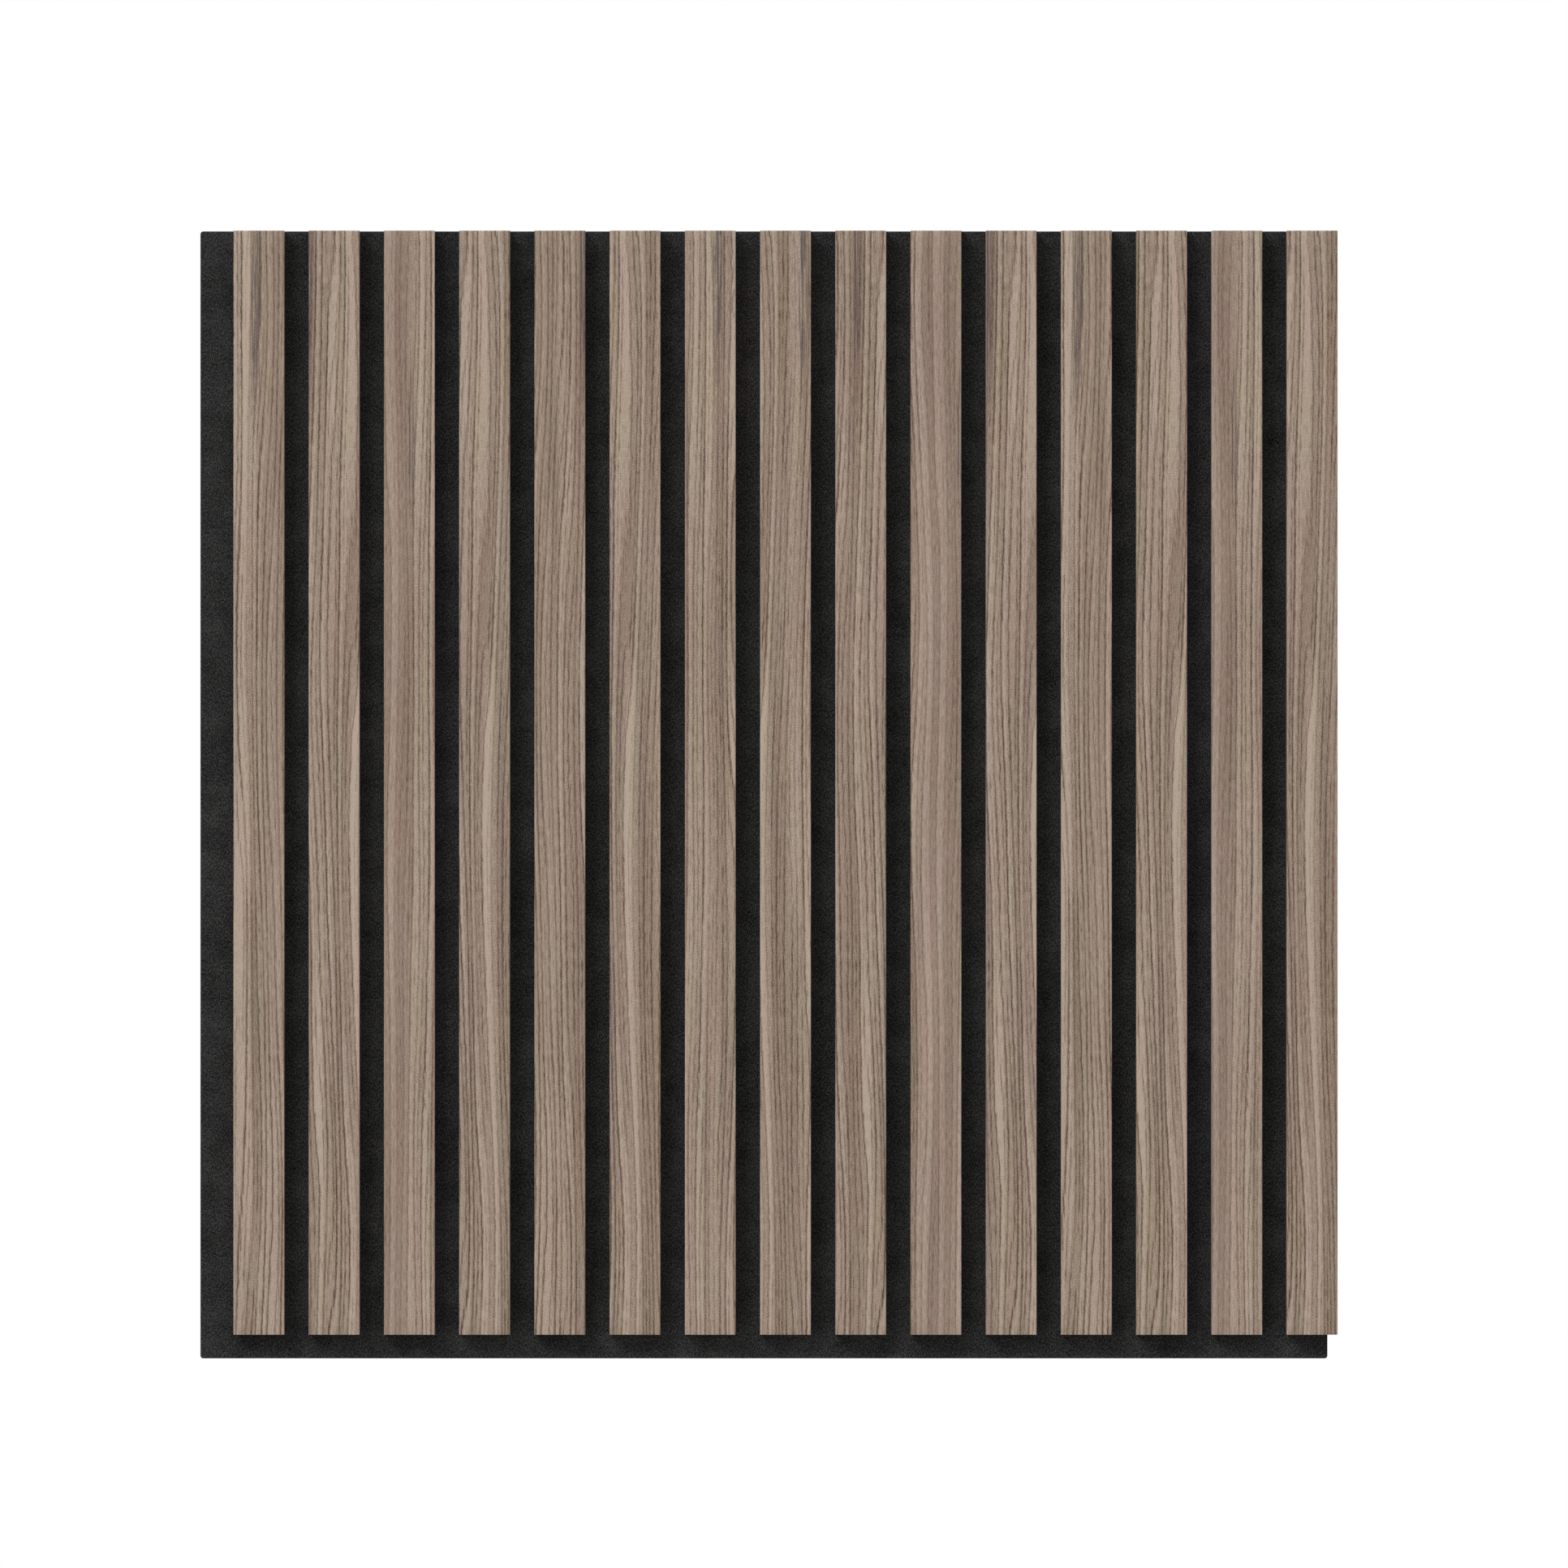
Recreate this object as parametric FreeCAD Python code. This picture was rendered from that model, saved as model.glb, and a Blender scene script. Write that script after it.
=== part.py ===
import FreeCAD, Part
import os

from FreeCAD import Vector

# Acoustic slat wall panel, 600 mm module.
#
# Fifteen veneered slats stand upright on a felt backing. The slats are set a little to the
# right and end short of the bottom edge, so the bare felt on the left and at the bottom takes
# the overhang of the next panel and the slats run on at one even pitch.
#
# Frame: millimetres, +Z up, +X to the right seen from the room, front towards -Y.
# The origin is the middle of the felt's back face, which lies on the wall.

# Felt backing
MODULE = 600.0
FELT_THICKNESS = 9.0
FELT_CORNER_RADIUS = 1.5

# Slats
SLAT_COUNT = 15
SLAT_PITCH = MODULE / SLAT_COUNT
SLAT_WIDTH = 27.0
SLAT_DEPTH = 12.0
BARE_LEFT = 18.0
BARE_BOTTOM = SLAT_PITCH - SLAT_WIDTH

# Veneer wrapped round the front and both sides of each slat. The core under it is sharp, so
# the veneer's outside radius at a long arris is its own thickness.
VENEER_THICKNESS = 0.5
SLAT_ARRIS_RADIUS = VENEER_THICKNESS

# Staples, driven through the felt into the slats from behind
STAPLES_PER_SLAT = 4
STAPLE_END_INSET = 45.0
STAPLE_CROWN = 10.0
STAPLE_LENGTH = 15.0
STAPLE_WIRE_WIDTH = 1.2
STAPLE_WIRE_THICKNESS = 1.0
STAPLE_SHOULDER = 0.5
STAPLE_POINT_SLOPE = 0.9
STAPLE_SUNK = 0.4

# Places worked out from the sizes above
HALF = MODULE / 2
SLAT_BOTTOM = -HALF + BARE_BOTTOM
SLAT_LENGTH = HALF - SLAT_BOTTOM
SLAT_BACK = -FELT_THICKNESS


def upright_bar(width, depth, length, low=0.0):
    """A square-edged bar along Z with its back at y = 0, centred on X."""
    return Part.makeBox(width, depth, length, Vector(-width / 2, -depth, low))


def front_arrises(bar, depth):
    """The two long edges between a bar's front and its sides."""
    upright = [e for e in bar.Edges if abs(e.tangentAt(e.FirstParameter).z) > 0.99]
    return [e for e in upright if e.BoundBox.YMax < 0.01 - depth]


def corner_edges(slab):
    """The four edges that run from front to back at the corners of a slab's outline."""
    return [e for e in slab.Edges if abs(e.tangentAt(e.FirstParameter).y) > 0.99]


def slat_outside():
    """The whole slat: rounded long arrises and square-cut ends."""
    bar = upright_bar(SLAT_WIDTH, SLAT_DEPTH, SLAT_LENGTH)
    return bar.makeFillet(SLAT_ARRIS_RADIUS, front_arrises(bar, SLAT_DEPTH))


def slat_inside():
    """The space inside the veneer, square-edged and longer than the slat."""
    width = SLAT_WIDTH - 2 * VENEER_THICKNESS
    depth = SLAT_DEPTH - VENEER_THICKNESS
    return upright_bar(width, depth, SLAT_LENGTH + 2, low=-1)


def felt_sheet():
    """The felt, cut square with small round corners, its back at y = 0."""
    sheet = upright_bar(MODULE, FELT_THICKNESS, MODULE, low=-HALF)
    return sheet.makeFillet(FELT_CORNER_RADIUS, corner_edges(sheet))


def staple():
    """One staple centred on z = 0, its crown along Z and its legs pointing to the front.

    The outline is a U with its outer shoulders taken off and chisel points on the legs.
    """
    half = STAPLE_CROWN / 2
    inner = half - STAPLE_WIRE_THICKNESS
    back = -STAPLE_SUNK
    crown = back - STAPLE_WIRE_THICKNESS
    tip = back - STAPLE_LENGTH
    heel = tip + STAPLE_POINT_SLOPE
    upper_half = [
        (back, half - STAPLE_SHOULDER),
        (back - STAPLE_SHOULDER, half),
        (tip, half),
        (heel, inner),
        (crown, inner),
    ]
    lower_half = [(y, -z) for y, z in reversed(upper_half)]
    side = STAPLE_WIRE_WIDTH / 2
    outline = Part.makePolygon(
        [Vector(-side, y, z) for y, z in upper_half + lower_half + upper_half[:1]]
    )
    return Part.Face(outline).extrude(Vector(STAPLE_WIRE_WIDTH, 0, 0))


def staple_slot():
    """The slot that a staple's crown has pressed into the felt's back."""
    depth = STAPLE_SUNK + STAPLE_WIRE_THICKNESS
    return upright_bar(STAPLE_WIRE_WIDTH, depth, STAPLE_CROWN, low=-STAPLE_CROWN / 2)


def slat_centres():
    """X of each slat's centre line, from left to right."""
    first = -HALF + BARE_LEFT + SLAT_WIDTH / 2
    return [first + index * SLAT_PITCH for index in range(SLAT_COUNT)]


def staple_heights():
    """Z of each staple's middle, evenly spaced up a slat."""
    spacing = (SLAT_LENGTH - 2 * STAPLE_END_INSET) / (STAPLES_PER_SLAT - 1)
    lowest = SLAT_BOTTOM + STAPLE_END_INSET
    return [lowest + index * spacing for index in range(STAPLES_PER_SLAT)]


def placed(shape, x, y, z):
    """A copy of a shape, moved to its place."""
    copy = shape.copy()
    copy.translate(Vector(x, y, z))
    return copy


def build():
    """Every sub-part by name, each one solid, apart from the staples, which are a group."""
    outside = slat_outside()
    inside = slat_inside()
    core = outside.common(inside)
    veneer = outside.cut(inside)
    one_staple = staple()
    one_slot = staple_slot()

    nodes = {}
    staples = []
    slots = []
    for number, x in enumerate(slat_centres(), start=1):
        own_staples = [placed(one_staple, x, 0, z) for z in staple_heights()]
        staples += own_staples
        slots += [placed(one_slot, x, 0, z) for z in staple_heights()]
        own_core = placed(core, x, SLAT_BACK, SLAT_BOTTOM)
        nodes[f"slat_core_{number:02d}"] = own_core.cut(own_staples)
        nodes[f"slat_veneer_{number:02d}"] = placed(veneer, x, SLAT_BACK, SLAT_BOTTOM)
    nodes["felt_backing"] = felt_sheet().cut(staples + slots)
    nodes["back_staples"] = Part.makeCompound(staples)
    return nodes


os.makedirs("parts", exist_ok=True)
for name, shape in build().items():
    shape.exportStep(f"parts/{name}.step")
    print(name, len(shape.Solids), "solid(s)", round(shape.Volume, 1), "mm3")
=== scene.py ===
import bpy
import numpy as np
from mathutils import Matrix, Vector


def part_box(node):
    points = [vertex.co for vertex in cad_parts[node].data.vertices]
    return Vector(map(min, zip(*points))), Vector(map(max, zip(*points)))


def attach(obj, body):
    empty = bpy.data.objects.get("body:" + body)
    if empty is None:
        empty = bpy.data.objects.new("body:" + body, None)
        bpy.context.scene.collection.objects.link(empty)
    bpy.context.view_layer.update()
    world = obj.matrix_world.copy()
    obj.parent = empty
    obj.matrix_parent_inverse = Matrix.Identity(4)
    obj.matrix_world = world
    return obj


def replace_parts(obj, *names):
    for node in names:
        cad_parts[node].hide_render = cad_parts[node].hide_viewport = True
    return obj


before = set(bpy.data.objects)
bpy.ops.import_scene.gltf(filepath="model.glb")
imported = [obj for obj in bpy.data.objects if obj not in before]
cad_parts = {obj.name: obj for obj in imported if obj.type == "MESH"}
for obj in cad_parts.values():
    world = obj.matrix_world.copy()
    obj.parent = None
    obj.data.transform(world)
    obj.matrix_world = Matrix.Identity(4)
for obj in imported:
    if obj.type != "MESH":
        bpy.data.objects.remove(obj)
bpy.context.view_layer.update()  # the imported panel; nothing below moves or resizes it
print("frame loaded:", len(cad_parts), "nodes")

# Acoustic slat wall panel. Metres, +Z up, the slats face -Y, the felt's back lies on y = 0.
mm = 0.001
slatCount = 15
slatNames = [f"{number:02d}" for number in range(1, slatCount + 1)]
veneerBoxes = [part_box("slat_veneer_" + name) for name in slatNames]
feltLow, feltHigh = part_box("felt_backing")


# A colour written as on a paint card, #rrggbb, turned to the linear light that Blender mixes:
# ((level + 0.055) / 1.055) to the power 2.4, or level / 12.92 for the darkest.
def linear(hexText):
    levels = np.array([int(hexText[i:i + 2], 16) for i in (1, 3, 5)]) / 255
    light = np.where(levels <= 0.04045, levels / 12.92, ((levels + 0.055) / 1.055) ** 2.4)
    return (*light.tolist(), 1.0)


# Adds one node. inputs lists what goes into its sockets in order, or maps sockets to it: a
# number, a colour, a node, whose first output is taken, or a socket. stops are the places and
# colours of a colour ramp.
def addNode(tree, kind, inputs=(), stops=(), **settings):
    node = tree.nodes.new("ShaderNode" + kind)
    for name, value in settings.items():
        setattr(node, name, value)
    pairs = inputs.items() if isinstance(inputs, dict) else enumerate(inputs)
    for name, value in pairs:
        if isinstance(value, bpy.types.Node):
            value = value.outputs[0]
        if isinstance(value, bpy.types.NodeSocket):
            tree.links.new(value, node.inputs[name])
        else:
            node.inputs[name].default_value = value
    for number, (place, hexText) in enumerate(stops):
        ramp = node.color_ramp.elements
        if number == len(ramp):
            ramp.new(1.0)
        ramp[number].position = place
        ramp[number].color = linear(hexText)
    return node


# A new material with an empty node tree.
def newMaterial(name):
    material = bpy.data.materials.new(name)
    material.use_nodes = True
    material.node_tree.nodes.clear()
    return material, material.node_tree


# Walnut veneer, sliced, stained grey and lacquered matt. Slicing across the growth rings gives
# long upright lines, where the pale early wood of one year meets the dark late wood of the
# year before. Where a ring leans over, its two edges meet in a long point. Every slat is cut
# from one sheet, so the UV map holds the place on that sheet, in metres. Real pores are about
# 0.2 mm wide and fibres far less; both are drawn about 0.45 mm wide, so that they show.
walnutLook = {
    "ringWidth": 4.0,  # mm, mean width of a growth ring
    # sideways pushes of the grain: patch width and length (mm), shift, and reach (rings)
    "pushes": [
        (34.0, 250.0, 17.3, 3.4),
        (8.5, 170.0, 26.4, 1.1),
        (1.2, 8.0, 35.5, 0.10),
        (5.0, 600.0, 44.6, 0.5),
    ],
    "countStep": 0.15,  # mm, the short way over which rings per mm are counted
    "fewestRings": 0.06,  # rings per mm, the fewest that a line's width is worked out with
    "lineWidth": (0.12, 0.88),  # mm from a ring's edge: full dark, and gone
    "faintestLine": 0.45,  # strength of the faintest ring's line, of 1
    "halfLine": 0.7,  # strength of the line halfway through a wide ring
    "fray": 0.22,  # mm that pores move a line's edge, either way
    "ragged": 0.4,  # how much a line's strength varies along it, either way
    "betweenPores": 0.88,  # strength of a line between its pores
    "poreShare": 0.3,  # and what the pores add
    "narrowFade": 0.3,  # how much of its line a narrow ring loses
    "shadeWidth": 2.3,  # mm, the late wood that darkens towards the edge
    "plainCalm": 0.55,  # how much of the lines the plain stretch loses
    # noise: patch width and length (mm), shift, and how many finer layers
    "noises": {
        "fray": (0.5, 2.4, 52.0, 0.0),
        "strength": (4.0, 50.0, 3.3, 0.0),
        "ragged": (0.9, 15.0, 31.0, 0.0),
        "pores": (0.45, 3.2, 95.0, 0.0),
        "streaks": (0.75, 32.0, 44.0, 0.0),
        "clouds": (9.0, 180.0, 5.5, 0.0),
        "fibre": (0.45, 5.0, 61.0, 2.0),
        "grit": (0.42, 0.7, 77.0, 1.0),
        "tint": (8.0, 120.0, 88.0, 1.0),
        "cast": (6.0, 110.0, 23.0, 1.0),
    },
    # S curves: from and to, and what they give at either end
    "curves": {
        "strength": (0.25, 0.6, 0.6, 1.0),  # over noise
        "pores": (0.48, 0.66, 0.0, 1.0),
        "streaks": (0.4, 0.6, 0.1, 1.0),
        "wide": (0.18, 0.32, 1.0, 0.0),  # over rings per mm
        "narrow": (0.4, 0.9, 0.0, 1.0),
        "leaning": (0.03, 0.16, 0.15, 1.0),
        "rings": (0.2, 0.75, 0.0, 1.0),  # over each ring's chance number
        "bandCalm": (0.05, 0.14, 0.0, 0.38),  # over how pale or brown a band is
        "plainStart": (154.0, 162.0, 0.0, 1.0),  # over mm across the sheet
        "plainEnd": (176.0, 185.0, 1.0, 0.0),
        "leftSide": (30.0, 42.0, 0.6, 0.0),
    },
    # pale and brown bands: middle and half width (mm across the sheet), top and bottom (mm
    # above the panel's middle), and how pale, or below 0 how brown
    "bands": [
        (8.6, 4.4, 320, -60, 0.15),
        (19.0, 10.0, 320, -150, -0.1),
        (22.5, 5.5, 320, 150, -0.12),
        (36.5, 3.5, 320, 190, -0.12),
        (66.5, 4.2, 70, -310, 0.11),
        (82.4, 3.4, 320, -60, 0.15),
        (185.5, 3.6, 320, -310, 0.09),
        (195.6, 3.2, 320, -310, 0.11),
    ],
    # grey mineral streaks, in the same way, and how dark
    "streaks": [
        (11.8, 2.8, 320, 215, 1.0),
        (40.3, 2.0, 320, 225, 0.8),
        (86.7, 2.8, 320, 225, 1.0),
        (198.3, 2.5, 320, 235, 1.0),
        (181.0, 2.0, 215, 165, 0.8),
    ],
    "markEdge": (0.4, 1.4),  # half widths from a mark's middle: full, and gone
    "bandEnd": 30,  # mm that a band's ends fade over, either way
    "streakEnd": 26,
    "streakFray": 0.35,  # how far pores break up a streak
    # the tone, from 0 dark to 1 pale: where it starts, and what each layer adds to it
    "startTone": 0.645,
    "shares": {
        "rings": 0.27,
        "narrow": -0.05,
        "bands": 1.0,
        "plain": -0.04,
        "streaks": -0.4,
        "shade": -0.34,
        "line": -0.6,
        "clouds": 0.25,
        "fibre": 0.64,
    },
    "gritShare": 0.75,
    "bandGrit": 1.5,  # pale bands are grittier
    "plainGrit": -0.25,  # and the plain stretch is smoother
    "tones": [
        (0.0, "#503b2f"),
        (0.2, "#665245"),
        (0.5, "#887666"),
        (0.8, "#a49283"),
        (1.0, "#b8a697"),
    ],
    "tints": [(0.3, "#fffbfd"), (0.5, "#ffffff"), (0.7, "#fffff8")],
    "casts": [(0.3, "#fcffff"), (0.7, "#fffcfd")],  # stain taken up unevenly
    "plainTint": ("#fffbfe", 0.8),  # a little redder, and by what share
    "leftTint": "#fffffa",  # a little yellower
    "streakGrey": ("#6b6162", 0.6),
    "roughness": 0.5,
    "ior": 1.5,
    "specular": 0.3,
    "bump": (0.4, 0.04 * mm),  # strength and height
}


# The count of rings at each place on the sheet gives the figure: a dark line where it passes a
# whole number, and shade before the line. tone = startTone + sum of layer * share, and the
# colours follow the tone.
def makeWalnut():
    look = walnutLook
    sCurve = {"interpolation_type": "SMOOTHSTEP"}
    material, tree = newMaterial("slicedWalnutVeneer")
    uvMap = addNode(tree, "UVMap", uv_map="veneerSheet")
    sheetPlace = addNode(tree, "SeparateXYZ", [uvMap])
    across = addNode(tree, "Math", [sheetPlace.outputs["X"], 1 / mm], operation="MULTIPLY")
    along = addNode(tree, "Math", [sheetPlace.outputs["Y"], 1 / mm], operation="MULTIPLY")

    # start + value * share + value * share, and so on
    def addUp(start, *terms):
        total = start
        for value, share in terms:
            total = addNode(tree, "Math", [value, share, total], operation="MULTIPLY_ADD")
        return total

    # value * value, and so on
    def product(*values):
        total = values[0]
        for value in values[1:]:
            total = addNode(tree, "Math", [total, value], operation="MULTIPLY")
        return total

    # noise, 0 to 1, in patches wide by long mm: the noise at (x / wide, along / long), shifted
    # so that no two patterns are alike
    def patches(x, wide, long, shift, detail):
        column = addNode(tree, "Math", [x, wide], operation="DIVIDE")
        row = addNode(tree, "Math", [along, long], operation="DIVIDE")
        spot = addNode(tree, "CombineXYZ", [column, row])
        moved = addNode(tree, "VectorMath", [spot, (shift, 0.37 * shift, 0)])
        return addNode(tree, "TexNoise", {"Vector": moved, "Scale": 1.0, "Detail": detail},
                       noise_dimensions="2D")

    # rings grown up to a place: x / ringWidth + sum of reach * noise
    def ringsAt(x):
        rings = addNode(tree, "Math", [x, look["ringWidth"]], operation="DIVIDE")
        for wide, long, shift, reach in look["pushes"]:
            rings = addUp(rings, (patches(x, wide, long, shift, 0.0), reach))
        return rings

    # sum of soft-edged upright marks: each is how strong * an S curve over its width * one at
    # its bottom * one at its top
    def marks(rows, end):
        total = 0.0
        for middle, half, top, bottom, power in rows:
            off = addNode(tree, "Math", [addUp(-middle, (across, 1.0))], operation="ABSOLUTE")
            edge = [share * half for share in look["markEdge"]]
            width = addNode(tree, "MapRange", [off, *edge, 1.0, 0.0], **sCurve)
            foot = addNode(tree, "MapRange", [along, bottom - end, bottom + end, 0.0, 1.0],
                           **sCurve)
            head = addNode(tree, "MapRange", [along, top - end, top + end, 1.0, 0.0], **sCurve)
            total = addUp(total, (product(width, foot, head), power))
        return total

    rings = ringsAt(across)
    nextPlace = addNode(tree, "Math", [across, look["countStep"]], operation="ADD")
    gained = addUp(ringsAt(nextPlace), (rings, -1.0))
    perMm = addNode(tree, "Math", [gained, look["countStep"]], operation="DIVIDE")
    perMm = addNode(tree, "Math", [perMm], operation="ABSOLUTE")
    steady = addNode(tree, "Math", [perMm, look["fewestRings"]], operation="MAXIMUM")

    # mm past a ring's near edge, left to its far edge and off its middle
    part = addNode(tree, "Math", [rings], operation="FRACT")
    partOff = addNode(tree, "Math", [addUp(-0.5, (part, 1.0))], operation="ABSOLUTE")
    past, left, offMiddle = [
        addNode(tree, "Math", [rest, steady], operation="DIVIDE")
        for rest in (part, addUp(1.0, (part, -1.0)), partOff)
    ]

    # a chance number for each ring and for each edge between two rings
    ringChance, edgeChance = [
        addNode(tree, "TexWhiteNoise", {"W": addNode(tree, "Math", [rings], operation=nearest)},
                noise_dimensions="1D")
        for nearest in ("FLOOR", "ROUND")
    ]

    noise = {name: patches(across, *patch) for name, patch in look["noises"].items()}
    frayed = addUp(-look["fray"], (noise["fray"], 2 * look["fray"]))
    banded = marks(look["bands"], look["bandEnd"])
    # what each S curve runs over
    curved = {
        "strength": noise["strength"],
        "pores": noise["pores"],
        "streaks": addUp(noise["streaks"], (frayed, look["streakFray"])),
        "wide": perMm,
        "narrow": perMm,
        "leaning": perMm,
        "rings": ringChance,
        "bandCalm": addNode(tree, "Math", [banded], operation="ABSOLUTE"),
        "plainStart": across,
        "plainEnd": across,
        "leftSide": across,
    }
    eased = {name: addNode(tree, "MapRange", [value, *look["curves"][name]], **sCurve)
             for name, value in curved.items()}
    plain = product(eased["plainStart"], eased["plainEnd"])
    streaked = product(marks(look["streaks"], look["streakEnd"]), eased["streaks"])
    calm = addUp(1.0, (plain, -look["plainCalm"]), (eased["bandCalm"], -1.0))

    # the dark line at a ring's edge, frayed where pores cut across it, and the fainter one
    # halfway through a wide ring
    nearEdge = addNode(tree, "Math", [past, left], operation="MINIMUM")
    toEdge = addNode(tree, "Math", [nearEdge, frayed], operation="ADD")
    faintest = look["faintestLine"]
    line = product(addNode(tree, "MapRange", [toEdge, *look["lineWidth"], 1.0, 0.0], **sCurve),
                   product(addUp(faintest, (edgeChance, 1 - faintest)), eased["strength"]))
    halfLine = product(addNode(tree, "MapRange",
                               [offMiddle, *look["lineWidth"], look["halfLine"], 0.0], **sCurve),
                       eased["wide"])
    line = addNode(tree, "Math", [line, halfLine], operation="MAXIMUM")

    # ragged along its length, darkest in the open pores and lighter where rings are narrow;
    # where a ring leans over, the count hardly changes and the line would spread to a blot
    line = product(line, addUp(1 - look["ragged"], (noise["ragged"], 2 * look["ragged"])),
                   addUp(look["betweenPores"], (eased["pores"], look["poreShare"])),
                   addUp(1.0, (eased["narrow"], -look["narrowFade"])), eased["leaning"], calm)
    shade = addNode(tree, "MapRange", [left, 0.0, look["shadeWidth"], 1.0, 0.0], **sCurve)
    shade = product(shade, ringChance, calm)

    for name in ("clouds", "fibre", "grit"):
        noise[name] = addUp(-0.5, (noise[name], 1.0))  # darkens as much as it brightens
    layers = {
        "rings": eased["rings"],
        "narrow": eased["narrow"],
        "bands": banded,
        "plain": plain,
        "streaks": streaked,
        "shade": shade,
        "line": line,
        "clouds": noise["clouds"],
        "fibre": noise["fibre"],
    }
    tone = addUp(look["startTone"], *[(layers[name], look["shares"][name]) for name in layers])
    gritty = addUp(look["gritShare"], (banded, look["bandGrit"]), (plain, look["plainGrit"]))
    tone = addUp(tone, (noise["grit"], gritty))

    colour = addNode(tree, "ValToRGB", [tone], look["tones"])
    tint = addNode(tree, "ValToRGB", [noise["tint"]], look["tints"])
    cast = addNode(tree, "ValToRGB", [noise["cast"]], look["casts"])
    redder, plainShare = look["plainTint"]
    tint = addNode(tree, "Mix", {0: product(plain, plainShare), 6: tint, 7: linear(redder)},
                   data_type="RGBA").outputs[2]
    tint = addNode(tree, "Mix", {0: eased["leftSide"], 6: tint, 7: linear(look["leftTint"])},
                   data_type="RGBA").outputs[2]
    glazed = {"data_type": "RGBA", "blend_type": "MULTIPLY"}
    tint = addNode(tree, "Mix", {0: 1.0, 6: tint, 7: cast}, **glazed).outputs[2]
    stained = addNode(tree, "Mix", {0: 1.0, 6: colour, 7: tint}, **glazed).outputs[2]
    grey, greyShare = look["streakGrey"]
    greyed = addNode(tree, "Mix",
                     {0: product(streaked, greyShare), 6: stained, 7: linear(grey)},
                     data_type="RGBA").outputs[2]

    strength, height = look["bump"]
    bump = addNode(tree, "Bump", {"Height": tone, "Strength": strength, "Distance": height})
    shader = addNode(tree, "BsdfPrincipled",
                     {"Base Color": greyed, "Roughness": look["roughness"],
                      "IOR": look["ior"], "Specular IOR Level": look["specular"],
                      "Normal": bump})
    addNode(tree, "OutputMaterial", {"Surface": shader})
    return material


# Polyester felt, carded and needled. Short fibres lie at all angles and the needles push them
# in, so the surface is black-grey with fine light and dark specks and slow cloudy patches.
# Real fibres are 0.02 mm thick; the specks stand for tufts of them, about 0.5 mm, so they show.
feltLook = {
    "tuft": (0.5 * mm, 1.1 * mm),  # a slanted tuft's width and length
    "slant": 0.8,  # radians, either side of upright
    "speck": 0.48 * mm,
    "cloud": 14.0 * mm,  # the slow patches
    "tuftShare": 0.55,  # what each layer adds to the tone
    "speckShare": 0.75,
    "cloudShare": 0.22,
    "tones": [(0.26, "#020202"), (0.5, "#292929"), (0.74, "#4d4d4d")],
    "roughness": 0.95,
    "specular": 0.1,
    "sheen": (0.01, 0.5),  # weight and roughness
    "bump": (0.6, 0.2 * mm),  # strength and height
}


# Two slanted noises for the tufts, one for the specks and a slow one for the clouds, added up.
def makeFelt():
    look = feltLook
    material, tree = newMaterial("needledPolyesterFelt")
    place = addNode(tree, "TexCoord").outputs["Object"]

    # tone + sum of (noise - 0.5) * share
    def layered(tone, *rows):
        for vector, scale, detail, share in rows:
            noise = addNode(tree, "TexNoise",
                            {"Vector": vector, "Scale": scale, "Detail": detail})
            centred = addNode(tree, "Math", [noise, 0.5], operation="SUBTRACT")
            tone = addNode(tree, "Math", [centred, share, tone], operation="MULTIPLY_ADD")
        return tone

    wide, long = look["tuft"]
    tufts = []
    for turn in (look["slant"], -look["slant"]):
        turned = addNode(tree, "Mapping",
                         {"Vector": place, "Location": (turn, 0, turn),
                          "Rotation": (0, turn, 0), "Scale": (1 / wide, 1 / wide, 1 / long)})
        tufts.append((turned, 1.0, 1.0, look["tuftShare"]))
    height = layered(0.5, *tufts, (place, 1 / look["speck"], 1.0, look["speckShare"]))
    tone = layered(height, (place, 1 / look["cloud"], 2.0, look["cloudShare"]))

    colour = addNode(tree, "ValToRGB", [tone], look["tones"])
    strength, depth = look["bump"]
    bump = addNode(tree, "Bump", {"Height": height, "Strength": strength, "Distance": depth})
    sheenWeight, sheenRoughness = look["sheen"]
    shader = addNode(tree, "BsdfPrincipled",
                     {"Base Color": colour, "Roughness": look["roughness"],
                      "Sheen Weight": sheenWeight, "Sheen Roughness": sheenRoughness,
                      "Specular IOR Level": look["specular"], "Normal": bump})
    addNode(tree, "OutputMaterial", {"Surface": shader})
    return material


# Medium-density fibreboard, pressed from wood fibres and sawn: an even tan with short specks,
# denser and so darker towards the two pressed faces, front and back. Real fibres are finer
# than 0.05 mm; the specks stand for clumps of them, so they show.
boardLook = {
    "speck": 0.5 * mm,
    "pressed": (2.6 * mm, 5.8 * mm, 0.0, 0.17),  # from the middle, and how much darker there
    "tones": [(0.2, "#5f4631"), (0.5, "#917154"), (0.7, "#b0906b")],
    "roughness": 0.85,
    "bump": (0.4, 0.08 * mm),  # strength and height
}


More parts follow.
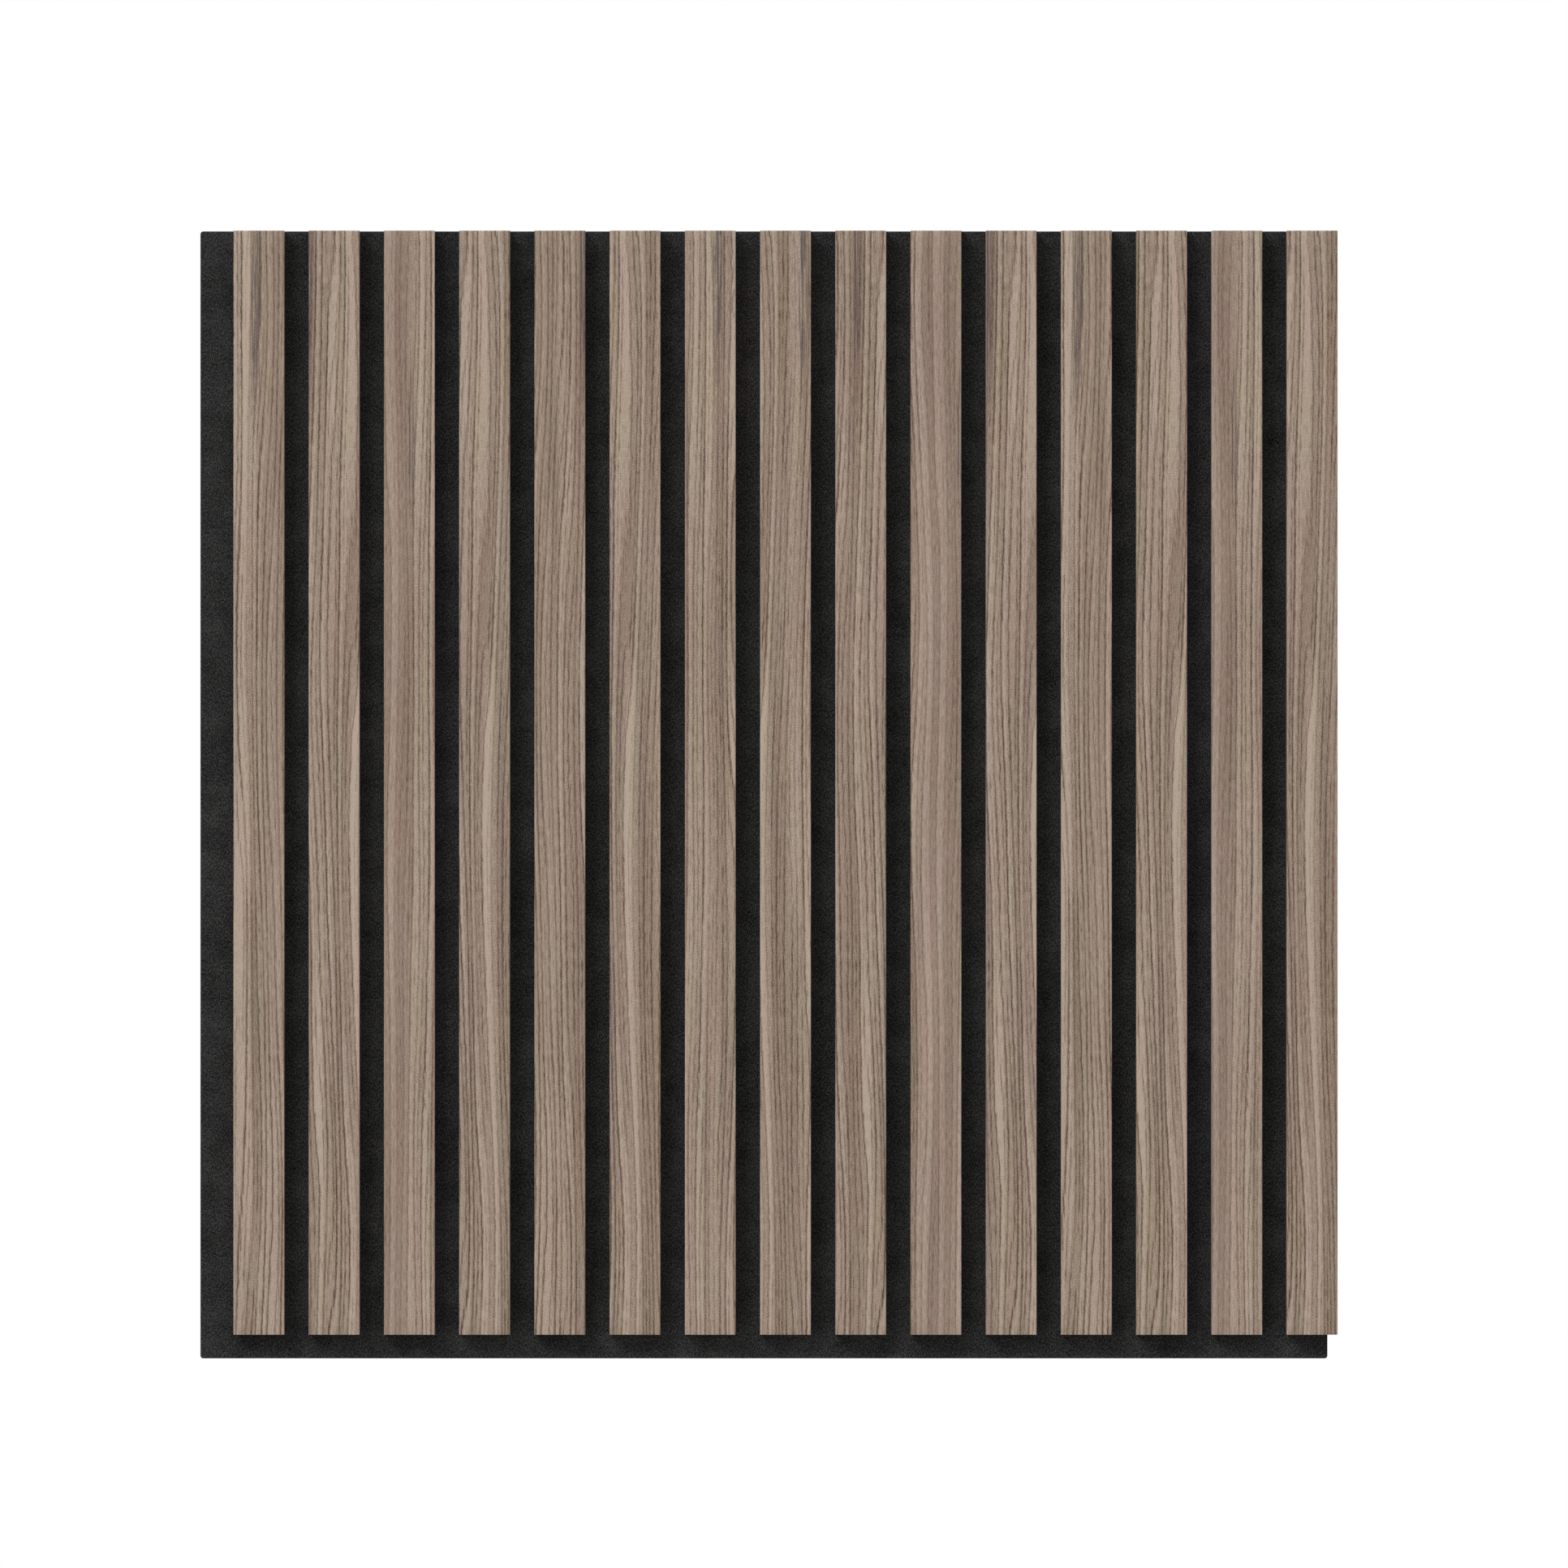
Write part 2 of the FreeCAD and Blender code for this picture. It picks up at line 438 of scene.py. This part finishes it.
# tone = specks - how much darker the pressed faces are, an S curve of the distance from the
# board's middle.
def makeFibreboard():
    look = boardLook
    material, tree = newMaterial("sawnFibreboard")
    place = addNode(tree, "TexCoord").outputs["Object"]
    specks = addNode(tree, "TexNoise",
                     {"Vector": place, "Scale": 1 / look["speck"], "Detail": 3.0})
    low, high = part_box("slat_core_01")
    depth = addNode(tree, "SeparateXYZ", [place]).outputs["Y"]
    fromMiddle = addNode(tree, "Math", [depth, (low.y + high.y) / 2], operation="SUBTRACT")
    fromMiddle = addNode(tree, "Math", [fromMiddle], operation="ABSOLUTE")
    pressed = addNode(tree, "MapRange", [fromMiddle, *look["pressed"]],
                      interpolation_type="SMOOTHSTEP")
    tone = addNode(tree, "Math", [specks, pressed], operation="SUBTRACT")
    colour = addNode(tree, "ValToRGB", [tone], look["tones"])
    strength, height = look["bump"]
    bump = addNode(tree, "Bump", {"Height": specks, "Strength": strength, "Distance": height})
    shader = addNode(tree, "BsdfPrincipled",
                     {"Base Color": colour, "Roughness": look["roughness"], "Normal": bump})
    addNode(tree, "OutputMaterial", {"Surface": shader})
    return material


# Galvanised steel wire, drawn and flattened: dull silver, clouded by its zinc in patches.
wireLook = {
    "colour": "#b9bbbd",
    "patch": 0.6 * mm,
    "roughness": (0.28, 0.5),  # from the brightest patch to the dullest
}


# One noise turned to roughness.
def makeStapleWire():
    material, tree = newMaterial("galvanisedWire")
    place = addNode(tree, "TexCoord").outputs["Object"]
    patch = addNode(tree, "TexNoise",
                    {"Vector": place, "Scale": 1 / wireLook["patch"], "Detail": 2.0})
    smooth, dull = wireLook["roughness"]
    rough = addNode(tree, "MapRange", {0: patch, 3: smooth, 4: dull})
    shader = addNode(tree, "BsdfPrincipled",
                     {"Base Color": linear(wireLook["colour"]), "Metallic": 1.0,
                      "Roughness": rough})
    addNode(tree, "OutputMaterial", {"Surface": shader})
    return material


walnutVeneer = makeWalnut()
polyesterFelt = makeFelt()
fibreboard = makeFibreboard()
stapleWire = makeStapleWire()
print("materials made")


# Corner numbers of the quads between neighbouring rows and columns of a grid of points. Where
# closed, each row is a ring and its last point joins its first.
def gridQuads(rows, columns, closed=False):
    row = np.arange(rows - 1)[:, None]
    column = np.arange(columns if closed else columns - 1)[None, :]
    following = (column + 1) % columns
    corners = [row * columns + column, row * columns + following,
               (row + 1) * columns + following, (row + 1) * columns + column]
    return np.stack(corners, axis=-1).reshape(-1, 4)


sharpAngle = np.radians(35)  # edges that turn more stay sharp


# One mesh object from its points and faces. uv gives each point's place on the sheet.
def makePiece(name, points, faces, material, uv=None):
    mesh = bpy.data.meshes.new(name)
    mesh.from_pydata(points.reshape(-1, 3).tolist(), [], faces)
    if uv is not None:
        corners = np.empty(len(mesh.loops), np.int32)
        mesh.loops.foreach_get("vertex_index", corners)
        layer = mesh.uv_layers.new(name="veneerSheet")
        layer.data.foreach_set("uv", uv[corners].ravel())
    mesh.shade_smooth()
    mesh.set_sharp_from_angle(angle=sharpAngle)
    mesh.materials.append(material)
    piece = bpy.data.objects.new(name, mesh)
    bpy.context.scene.collection.objects.link(piece)
    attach(piece, "root")
    return piece


# Veneer wrap of one slat. Each place is where the slat's left edge lies on the sheet of
# veneer, in mm, so slats cut side by side share a stretch of the same grain.
wrap = {
    "thickness": 0.47 * mm,  # with the glue under it, 0.5
    "arrisRadius": 0.5 * mm,
    "endEase": 0.12 * mm,  # the saw cut's edge, just taken off
    "firstStrip": 0.2 * mm,  # narrow, so that the front is shaded flat
    "endSteps": 3,
    "sideSteps": 4,
    "arcSteps": 6,
    "frontSteps": 20,
    "lengthSteps": 60,
    "sheetPlaces": [0.0, 40.1, 166.6, 49.6, 14.2, 54.4, 180.8, 63.9, 28.5, 154.9,
                    38.0, 3.0, 42.7, 169.2, 52.2],
}


# The wrap's outline, seen from above: up the left side, round the arris, across the front,
# round the other arris and back along the right side. Returns x, y and the length walked.
def wrapOutline(halfWidth, back, front, radius):
    side = np.linspace(back, front + radius, wrap["sideSteps"] + 1)[:-1]
    turn = np.linspace(0, np.pi / 2, wrap["arcSteps"] + 1)
    flat = halfWidth - radius
    strip = wrap["firstStrip"]
    across = np.linspace(-flat + 2 * strip, 0, wrap["frontSteps"] // 2 + 1)
    across = np.r_[-flat + strip, across]
    x = np.r_[np.full(side.size, -halfWidth), -flat - radius * np.cos(turn), across]
    y = np.r_[side, front + radius - radius * np.sin(turn), np.full(across.size, front)]
    x = np.r_[x, -x[-2::-1]]
    y = np.r_[y, y[-2::-1]]
    walked = np.r_[0, np.cumsum(np.hypot(np.diff(x), np.diff(y)))]
    return x, y, walked


# The wrap is that outline carried up the slat, and a second one inside it. At both ends the
# outer one is drawn in by ease * (1 - sin t) while it climbs ease * (1 - cos t).
def makeWrap(name, low, high, sheetPlace):
    thick = wrap["thickness"]
    half = (high.x - low.x) / 2
    middle = (high.x + low.x) / 2
    outX, outY, walked = wrapOutline(half, high.y, low.y, wrap["arrisRadius"])
    inX, inY, _ = wrapOutline(half - thick, high.y, low.y + thick, wrap["arrisRadius"] - thick)

    ease = wrap["endEase"]
    turn = np.linspace(0, np.pi / 2, wrap["endSteps"] + 1)
    length = high.z - low.z
    climb = ease * (1 - np.cos(turn))
    body = np.linspace(ease, length - ease, wrap["lengthSteps"] + 1)[1:-1]
    up = np.r_[climb, body, length - climb[::-1]]
    drawn = ease * (1 - np.sin(turn))
    drawn = np.r_[drawn, np.zeros(body.size), drawn[::-1]][:, None]
    outerX = np.clip(outX[None, :], drawn - half, half - drawn)
    outerY = np.maximum(outY[None, :], low.y + drawn)
    innerX = np.repeat(inX[None, ::-1], up.size, axis=0)
    innerY = np.repeat(inY[None, ::-1], up.size, axis=0)

    ringX = np.hstack([outerX, innerX]) + middle
    ringY = np.hstack([outerY, innerY])
    ringZ = np.repeat((low.z + up)[:, None], ringX.shape[1], axis=1)
    points = np.stack([ringX, ringY, ringZ], axis=-1)

    columns = ringX.shape[1]
    near = np.arange(outX.size - 1)
    far = columns - 1 - near
    bottom = np.stack([near, far, far - 1, near + 1], axis=-1)
    top = bottom[:, ::-1] + (up.size - 1) * columns
    faces = np.vstack([gridQuads(up.size, columns, closed=True), bottom, top])

    onSheet = walked - (walked[-1] - 2 * half) / 2 + sheetPlace * mm
    sheetAcross = np.repeat(np.r_[onSheet, onSheet[::-1]][None, :], up.size, axis=0)
    uv = np.stack([sheetAcross, ringZ], axis=-1).reshape(-1, 2)
    piece = makePiece(name, points, faces.tolist(), walnutVeneer, uv)
    return piece


for name, (low, high), sheetPlace in zip(slatNames, veneerBoxes, wrap["sheetPlaces"]):
    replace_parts(makeWrap("veneer_wrap_" + name, low, high, sheetPlace), "slat_veneer_" + name)
    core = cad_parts["slat_core_" + name]
    for holder in core.material_slots:
        holder.material = fibreboard
print("veneer wraps made")


# Staples, four up each slat, driven from behind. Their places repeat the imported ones.
staples = {
    "crown": 10.0 * mm,
    "length": 15.0 * mm,
    "wire": (1.2 * mm, 1.0 * mm),  # across the slat, and through
    "bend": 0.75 * mm,  # radius of the wire's middle
    "sunk": 0.4 * mm,
    "perSlat": 4,
    "endInset": 45.0 * mm,
    "edge": 0.28 * mm,  # the wire's corners, rolled off
    "pinch": 0.12,  # share of its thickness that the wire keeps at its points
    "bendSteps": 5,
    "legSteps": 3,
}
stapleX = [(low.x + high.x) / 2 for low, high in veneerBoxes]
stapleZ = np.linspace(veneerBoxes[0][0].z + staples["endInset"],
                      veneerBoxes[0][1].z - staples["endInset"], staples["perSlat"])
stapleSpots = np.array([(x, 0, z) for x in stapleX for z in stapleZ])


# One wire section, an oblong with cut corners, carried along a U: leg, bend, crown, bend, leg.
# The first and last sections are pinched to a chisel edge.
def makeStaples():
    wide, thick = staples["wire"]
    bend = staples["bend"]
    halfCrown = staples["crown"] / 2 - thick / 2
    crownY = -staples["sunk"] - thick / 2
    tipY = -staples["sunk"] - staples["length"]
    turn = np.linspace(0, np.pi / 2, staples["bendSteps"] + 1)
    legY = np.linspace(tipY, crownY - bend, staples["legSteps"] + 1)[:-1]
    pathZ = np.r_[np.full(legY.size, halfCrown), halfCrown - bend + bend * np.cos(turn)]
    pathY = np.r_[legY, crownY - bend + bend * np.sin(turn)]
    lean = np.r_[np.zeros(legY.size), turn]
    pathZ = np.r_[pathZ, -pathZ[::-1]]
    pathY = np.r_[pathY, pathY[::-1]]
    lean = np.r_[lean, np.pi - lean[::-1]]

    edge = staples["edge"]
    u = np.array([-1, -1, -1, -1, 1, 1, 1, 1]) * wide / 2
    v = np.array([-1, -1, 1, 1, 1, 1, -1, -1]) * thick / 2
    u = u + np.array([1, 0, 0, 1, -1, 0, 0, -1]) * edge
    v = v + np.array([0, 1, -1, 0, 0, -1, 1, 0]) * edge
    pinch = np.ones(pathY.size)
    pinch[[0, -1]] = staples["pinch"]
    out = v[None, :] * pinch[:, None]
    points = np.stack([np.repeat(u[None, :], pathY.size, axis=0),
                       pathY[:, None] + out * np.sin(lean)[:, None],
                       pathZ[:, None] + out * np.cos(lean)[:, None]], axis=-1)

    sides = gridQuads(pathY.size, u.size, closed=True)
    # three quads close the eight corners at an end
    cap = np.array([(0, 7, 6, 1), (1, 6, 5, 2), (2, 5, 4, 3)])
    endCap = cap[:, ::-1] + (pathY.size - 1) * u.size
    one = np.vstack([sides, cap, endCap])
    pointCount = points.size // 3
    firstPoints = pointCount * np.arange(len(stapleSpots))
    many = (one[None] + firstPoints[:, None, None]).reshape(-1, 4)
    spots = points.reshape(1, -1, 3) + stapleSpots[:, None, :]
    piece = makePiece("staples", spots, many.tolist(), stapleWire)
    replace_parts(piece, "back_staples")


makeStaples()
print("staples made")


# The felt sheet, with the hollows that the staples pull into its back.
sheet = {
    "cornerRadius": 1.5 * mm,
    "edgeEase": 0.25 * mm,
    "easeSteps": 3,
    "spacing": 6.0 * mm,  # of the grid, which is closer at the corners and the staples
    "leastSpacing": 0.15 * mm,
    "margin": 5.0 * mm,
    "cornerShares": (0.35, 0.7, 1.0),  # of the corner radius
    "besideStaple": (0.5 * mm, 1.1 * mm, 1.9 * mm, 2.8 * mm),
    "aboveStaple": (4.4 * mm, 5.1 * mm, 5.9 * mm, 6.9 * mm, 8.0 * mm),
    "hollowDepth": 0.65 * mm,
    "hollowReach": 2.8 * mm,
}


# The grid's lines from edge to edge of the sheet: at set shares of the corner radius, evenly
# spaced between the margins, and at set distances either side of each staple.
def gridLines(half, centres, distances):
    corner = np.r_[-half, -half + sheet["cornerRadius"] * np.array(sheet["cornerShares"])]
    low = -half + sheet["margin"]
    even = np.linspace(low, -low, int(round(-2 * low / sheet["spacing"])) + 1)
    close = (np.array(centres)[:, None] + np.r_[-np.array(distances), distances]).ravel()
    lines = np.unique(np.round(np.r_[even, close], 6))
    keep = np.r_[True, np.diff(lines) > sheet["leastSpacing"]]
    return np.r_[corner, lines[keep], -corner[::-1]]


# A square's grid with its corners rounded: inside each corner square of side radius, a point
# at shares (a, b) of it goes to a * sqrt(1 - b * b / 2) and b * sqrt(1 - a * a / 2).
def roundCorners(x, z, halfX, halfZ, radius):
    a = np.clip((np.abs(x) - halfX + radius) / radius, 0, 1)
    b = np.clip((np.abs(z) - halfZ + radius) / radius, 0, 1)
    newX = halfX - radius + radius * a * np.sqrt(1 - b * b / 2)
    newZ = halfZ - radius + radius * b * np.sqrt(1 - a * a / 2)
    corner = (a > 0) & (b > 0)
    return np.where(corner, np.sign(x) * newX, x), np.where(corner, np.sign(z) * newZ, z)


# Depth of the staple hollows: full under each crown, easing to nothing with the distance from
# its oblong by 1 - t * t * (3 - 2 * t).
def hollows(x, z):
    depth = np.zeros_like(x)
    for spotX, _, spotZ in stapleSpots:
        away = np.hypot(np.clip(np.abs(x - spotX) - staples["wire"][0] / 2, 0, None),
                        np.clip(np.abs(z - spotZ) - staples["crown"] / 2, 0, None))
        t = np.clip(away / sheet["hollowReach"], 0, 1)
        depth = np.maximum(depth, 1 - t * t * (3 - 2 * t))
    return depth * sheet["hollowDepth"]


# Front and back are that grid, drawn in by edgeEase, the back with its hollows. The rim is the
# outline, ring by ring, drawn in by ease * (1 - sin t) while it goes ease * (1 - cos t) deep.
def makeFeltSheet():
    halfX = (feltHigh.x - feltLow.x) / 2
    halfZ = (feltHigh.z - feltLow.z) / 2
    ease = sheet["edgeEase"]
    linesX = gridLines(halfX, stapleX, sheet["besideStaple"])
    linesZ = gridLines(halfZ, stapleZ, sheet["aboveStaple"])
    flatX, flatZ = np.meshgrid(linesX, linesZ)
    x, z = roundCorners(flatX, flatZ, halfX, halfZ, sheet["cornerRadius"])
    inset = np.array([(halfX - ease) / halfX, (halfZ - ease) / halfZ])
    front = np.stack([x * inset[0], np.full_like(x, feltLow.y), z * inset[1]], axis=-1)
    back = np.stack([x * inset[0], feltHigh.y - hollows(x, z), z * inset[1]], axis=-1)

    rows, columns = x.shape
    number = np.arange(rows * columns).reshape(rows, columns)
    border = np.r_[number[0, :-1], number[:-1, -1], number[-1, :0:-1], number[:0:-1, 0]]
    turn = np.linspace(0, np.pi / 2, sheet["easeSteps"] + 1)[1:]
    drawn = ease * (1 - np.sin(np.r_[turn, turn[::-1]]))
    sunk = ease * (1 - np.cos(turn))
    level = np.r_[feltLow.y + sunk, feltHigh.y - sunk[::-1]]
    rimX = x.ravel()[border][None, :] * (1 - drawn[:, None] / halfX)
    rimZ = z.ravel()[border][None, :] * (1 - drawn[:, None] / halfZ)
    rim = np.stack([rimX, np.repeat(level[:, None], border.size, axis=1), rimZ], axis=-1)

    points = np.vstack([front.reshape(-1, 3), back.reshape(-1, 3), rim.reshape(-1, 3)])
    frontQuads = gridQuads(rows, columns)
    backQuads = frontQuads[:, ::-1] + number.size
    rings = np.vstack([border, 2 * number.size + np.arange(rim.shape[0] * border.size)
                       .reshape(rim.shape[0], -1), border + number.size])
    following = np.roll(rings, -1, axis=1)
    walls = np.stack([rings[:-1], rings[1:], following[1:], following[:-1]], axis=-1)
    faces = np.vstack([frontQuads, backQuads, walls.reshape(-1, 4)])
    piece = makePiece("felt_sheet", points, faces.tolist(), polyesterFelt)
    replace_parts(piece, "felt_backing")


makeFeltSheet()
print("felt made")


# Camera, level with the panel and far off, so that the panel's edges are nearly parallel.
# Distances are in metres, the lens and sensor in mm.
camera = {
    "distance": 8.709,
    "right": 10.7 * mm,
    "up": 5.8 * mm,
    "lens": 375.2,
    "sensor": 36.0,
}
cameraData = bpy.data.cameras.new("camera")
cameraData.lens = camera["lens"]
cameraData.sensor_width = camera["sensor"]
cameraObject = bpy.data.objects.new("camera", cameraData)
cameraObject.location = (camera["right"], -camera["distance"], camera["up"])
cameraObject.rotation_euler = (np.pi / 2, 0, 0)
bpy.context.scene.collection.objects.link(cameraObject)
bpy.context.scene.camera = cameraObject

# Studio: white all round, one wide softbox far up to the left, a pale floor well below.
studio = {
    "ambient": 0.71,  # light from all round, where the white that the camera sees is 1
    "lampPlace": (-5.7, -8.1, 6.7),
    "lampSize": (4.4, 2.3),
    "lampPower": 588.0,
    "floorLevel": -1.0,
    "floorRadius": 11.5,
    "floorSides": 96,
    "floorColour": "#c8c8c6",
    "floorRoughness": 0.8,
}
world = bpy.data.worlds.new("studio")
bpy.context.scene.world = world
world.use_nodes = True
world.node_tree.nodes.clear()
seen = addNode(world.node_tree, "LightPath").outputs["Is Camera Ray"]
light = addNode(world.node_tree, "MapRange", {0: seen, 3: studio["ambient"], 4: 1.0})
backdrop = addNode(world.node_tree, "Background",
                   {"Color": linear("#ffffff"), "Strength": light})
addNode(world.node_tree, "OutputWorld", {"Surface": backdrop})

lampData = bpy.data.lights.new("softLamp", "AREA")
lampData.shape = "RECTANGLE"
lampData.size, lampData.size_y = studio["lampSize"]
lampData.energy = studio["lampPower"]
lamp = bpy.data.objects.new("softLamp", lampData)
lamp.location = studio["lampPlace"]
lamp.rotation_euler = (-lamp.location).to_track_quat("-Z", "Y").to_euler()
bpy.context.scene.collection.objects.link(lamp)


# The floor, one round face: points at floorRadius * (cos t, sin t).
def makeFloor():
    material, tree = newMaterial("paleFloor")
    shader = addNode(tree, "BsdfPrincipled",
                     {"Base Color": linear(studio["floorColour"]),
                      "Roughness": studio["floorRoughness"]})
    addNode(tree, "OutputMaterial", {"Surface": shader})
    turn = np.linspace(0, 2 * np.pi, studio["floorSides"], endpoint=False)
    reach = studio["floorRadius"]
    rim = np.stack([reach * np.cos(turn), reach * np.sin(turn),
                    np.full(turn.size, studio["floorLevel"])], axis=-1)
    mesh = bpy.data.meshes.new("floor")
    mesh.from_pydata(rim.tolist(), [], [list(range(turn.size))])
    mesh.materials.append(material)
    floor = bpy.data.objects.new("floor", mesh)
    bpy.context.scene.collection.objects.link(floor)


makeFloor()
bpy.context.scene.view_settings.view_transform = "Standard"
print("studio set")
